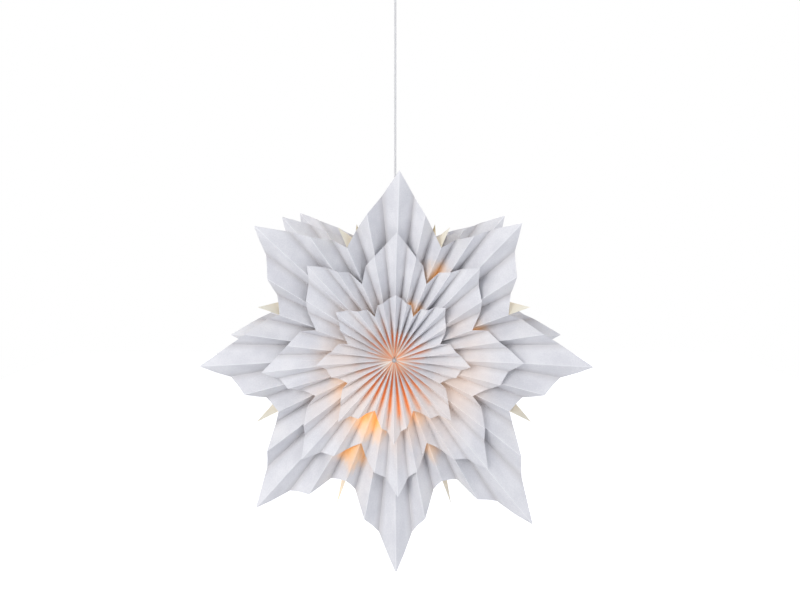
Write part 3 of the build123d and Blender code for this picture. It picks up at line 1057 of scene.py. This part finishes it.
MOULDED = Finish(
    "holder_moulded_white", (0.80, 0.79, 0.76), (0.76, 0.75, 0.71),
    rough=0.36, cells=1800.0, relief=0.08,
)
CERAMIC = Finish(
    "insert_glazed", (0.83, 0.81, 0.75), (0.79, 0.76, 0.69),
    rough=0.22, cells=700.0, relief=0.05, dust=0.2, coat=0.4,
)
BRASS = Finish(
    "contact_brass", (0.72, 0.53, 0.24), (0.62, 0.44, 0.18),
    rough=0.3, cells=1600.0, relief=0.1, dust=0.1, metallic=1.0,
)
ROLLED = Finish(
    "cap_rolled_metal", (0.72, 0.72, 0.72), (0.60, 0.60, 0.60),
    rough=0.28, cells=1500.0, relief=0.1, dust=0.1, metallic=1.0,
)
STEM = Finish(
    "lamp_stem_glass", (0.90, 0.80, 0.60), (0.85, 0.74, 0.54),
    rough=0.15, cells=600.0, relief=0.03, dust=0.0,
)


@dataclass
class LampAndHolder:
    """The lamp holder, its fittings and the lamp."""

    def build(self, effects: SharedEffects) -> None:
        """Dresses the holder's and the lamp's solids.

        Args:
            effects: the shared node groups.
        """
        coats = (
            (MOULDED, ("holder_gland", "holder_cap", "shade_ring", "holder_shell")),
            (CERAMIC, ("holder_insert",)),
            (BRASS, ("holder_contact", "bulb_contact")),
            (ROLLED, ("bulb_cap",)),
            (STEM, ("bulb_stem",)),
            (LampGlassFinish(), ("bulb_glass",)),
        )
        dress_nodes(coats, effects)
        log.info("lamp and holder dressed")


@dataclass
class HangingCord:
    """The taut cord between its grip in the ceiling cup and the lamp holder's gland.

    Args:
        top: height of its upper end, metres from the ceiling.
        bottom: height of its lower end.
        diameter: its thickness, metres.
        stops: points of the curve.
    """

    top: float = -58.9 * MM
    bottom: float = STAR_HEIGHT + 72.0 * MM
    diameter: float = 5.0 * MM
    stops: int = 6

    def build(self) -> bpy.types.Object:
        """Draws the cord.

        Returns:
            The cord's curve.
        """
        shape = bpy.data.curves.new("hanging_cord", "CURVE")
        shape.dimensions = "3D"
        line = shape.splines.new("NURBS")
        line.points.add(self.stops - 1)
        for count, point in enumerate(line.points):
            point.co = (0, 0, self.top + (self.bottom - self.top) * count / (self.stops - 1), 1)
        line.order_u = 3
        line.use_endpoint_u = True
        line.resolution_u = 12
        shape.bevel_depth = self.diameter / 2
        shape.bevel_resolution = 5
        shape.use_fill_caps = True
        cord = bpy.data.objects.new("hanging_cord", shape)
        bpy.context.scene.collection.objects.link(cord)
        dress(cord, CordFinish().build())
        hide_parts("cord")
        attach(cord, "drop")
        log.info("cord drawn, %.3f m", self.top - self.bottom)
        return cord


ZINC = Finish(
    "zinc_plated_steel", (0.64, 0.65, 0.66), (0.52, 0.53, 0.55),
    rough=0.34, cells=900.0, relief=0.12, dust=0.2, metallic=1.0,
)
CUP = Finish(
    "cup_moulded_white", (0.82, 0.82, 0.81), (0.78, 0.78, 0.77),
    rough=0.38, cells=1500.0, relief=0.1,
)
BLOCK = Finish("block_moulded", (0.74, 0.73, 0.68), (0.68, 0.67, 0.61), rough=0.5, cells=1200.0, relief=0.15)
GRIP = Finish("grip_moulded", (0.78, 0.78, 0.77), (0.73, 0.73, 0.72), rough=0.42, cells=1600.0, relief=0.1)


@dataclass
class CeilingFitting:
    """Plate, hook, cup, screws, terminal block and the links that carry the cord."""

    def build(self, effects: SharedEffects) -> None:
        """Dresses the ceiling's solids.

        Args:
            effects: the shared node groups.
        """
        screws = ("hook_nut", "cup_screw_front", "cup_screw_rear")
        coats = (
            (ZINC, ("ceiling_plate", "ceiling_hook", "hanger_ring", *screws)),
            (CUP, ("ceiling_cup",)),
            (BLOCK, ("terminal_block",)),
            (GRIP, ("cord_grip",)),
        )
        dress_nodes(coats, effects)
        log.info("ceiling fitting dressed")


# --- room, light and camera ------------------------------------------------------


@dataclass
class Studio:
    """Pale floor, soft lamps, white surroundings and the camera.

    Args:
        eye_height: camera above the star's middle.
        eye_distance: camera in front of the tips of the front large star.
        eye_side: camera to the right of the star's middle.
        tilt: how far the camera looks up, radians.
        front_star: plane of the front large star's tips, metres in front of the cord.
        focal: the picture's focal length in its own pixels.
        width: the picture's width in the same pixels.
        sensor: the camera's sensor width, millimetres.
        shift: the camera's vertical shift, a share of the width.
        floor_drop: from the star's middle down to the floor.
        floor_size: the floor's width.
        sky_power: strength of the light from all round.
    """

    eye_height: float = 0.264
    eye_distance: float = 0.676
    eye_side: float = 0.0107
    tilt: float = 0.0330
    front_star: float = 0.150
    focal: float = 375.8
    width: float = 800.0
    sensor: float = 36.0
    shift: float = -0.12
    floor_drop: float = 2.2
    floor_size: float = 12.0
    sky_power: float = 0.68

    def _seen(self, graph: Graph) -> bpy.types.NodeSocket:
        """Tells what the camera sees, straight or in gloss or glass, from light that only illuminates.

        Args:
            graph: the material's or world's graph.

        Returns:
            A socket that is 1 for what is seen.
        """
        rays = graph.add("ShaderNodeLightPath")
        seen = graph.math("ADD", rays.outputs["Is Camera Ray"], rays.outputs["Is Glossy Ray"], clamp=True)
        return graph.math("ADD", seen, rays.outputs["Is Transmission Ray"], clamp=True)

    def _world(self) -> None:
        """Soft grey light from all round, white where the camera looks past the object."""
        world = bpy.data.worlds.new("studio")
        bpy.context.scene.world = world
        world.use_nodes = True
        graph = Graph(world.node_tree)
        sky = world.node_tree.nodes["Background"]
        sky.inputs["Color"].default_value = (*SKY_TINT, 1)
        sky.inputs["Strength"].default_value = self.sky_power
        white = graph.add("ShaderNodeBackground")
        white.inputs["Color"].default_value = (1, 1, 1, 1)
        white.inputs["Strength"].default_value = 1.0
        mix = graph.add("ShaderNodeMixShader")
        graph.join(self._seen(graph), mix.inputs[0])
        graph.join(sky.outputs[0], mix.inputs[1])
        graph.join(white.outputs[0], mix.inputs[2])
        graph.join(mix.outputs[0], world.node_tree.nodes["World Output"].inputs["Surface"])

    def _floor(self) -> None:
        """A wide pale floor well below the star."""
        clear_selection()
        height = STAR_HEIGHT - self.floor_drop
        bpy.ops.mesh.primitive_plane_add(size=self.floor_size, location=(0, 0, height))
        floor = bpy.context.object
        bpy.ops.object.transform_apply(location=True, rotation=True, scale=True)
        floor.name = "floor"
        pale, graph, shader = new_material("floor_pale")
        spots = graph.speckle(graph.add("ShaderNodeTexCoord").outputs["Object"], 3.0, 4.0)
        graph.join(graph.blend(spots, *FLOOR_TONES), shader["Base Color"])
        shader["Roughness"].default_value = 0.8
        shader["Emission Color"].default_value = (1, 1, 1, 1)
        graph.join(graph.math("MULTIPLY", self._seen(graph), 0.6), shader["Emission Strength"])
        dress(floor, pale)

    def _lamp(
        self,
        name: str,
        place: tuple[float, float, float],
        size: float,
        power: float,
        tint: Colour,
    ) -> None:
        """Adds a soft area lamp that looks at the star.

        Args:
            name: the lamp's name.
            place: where it stands.
            size: its width in metres.
            power: its power in watts.
            tint: its colour.
        """
        data = bpy.data.lights.new(name, "AREA")
        data.shape = "DISK"
        data.size = size
        data.energy = power
        data.color = tint
        lamp = bpy.data.objects.new(name, data)
        lamp.location = place
        aim = Vector((0, 0, STAR_HEIGHT)) - Vector(place)
        lamp.rotation_euler = aim.to_track_quat("-Z", "Y").to_euler()
        bpy.context.scene.collection.objects.link(lamp)

    def _camera(self) -> None:
        """Places the camera so that layers, scale and framing agree with the picture."""
        data = bpy.data.cameras.new("camera")
        data.sensor_width = self.sensor
        data.lens = self.focal * self.sensor / self.width
        data.shift_y = self.shift
        data.clip_start = 0.05
        data.clip_end = 60.0
        camera = bpy.data.objects.new("camera", data)
        bpy.context.scene.collection.objects.link(camera)
        camera.location = (self.eye_side, -self.front_star - self.eye_distance, STAR_HEIGHT + self.eye_height)
        camera.rotation_euler = (math.pi / 2 + self.tilt, 0, 0)
        bpy.context.scene.camera = camera

    def build(self) -> None:
        """Sets up the whole studio."""
        self._world()
        self._floor()
        self._lamp("key", (-1.5, -2.2, 0.25), 1.4, 35.0, (1.0, 0.98, 0.96))
        self._lamp("fill", (2.2, -1.8, -0.6), 2.0, 10.0, (0.95, 0.96, 1.0))
        self._lamp("back", (0.4, 2.2, 0.9), 1.8, 30.0, (1.0, 1.0, 1.0))
        self._camera()
        bpy.context.scene.view_settings.view_transform = "Standard"
        log.info("studio ready")


def main() -> None:
    """Builds the pendant's looks around the fixed solids."""
    logging.basicConfig(level=logging.INFO, format="%(name)s: %(message)s")
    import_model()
    effects = SharedEffects()
    Studio().build()
    HangingCord().build()
    PaperStarStack().build(effects)
    LampAndHolder().build(effects)
    CeilingFitting().build(effects)


if __name__ == "__main__":
    main()
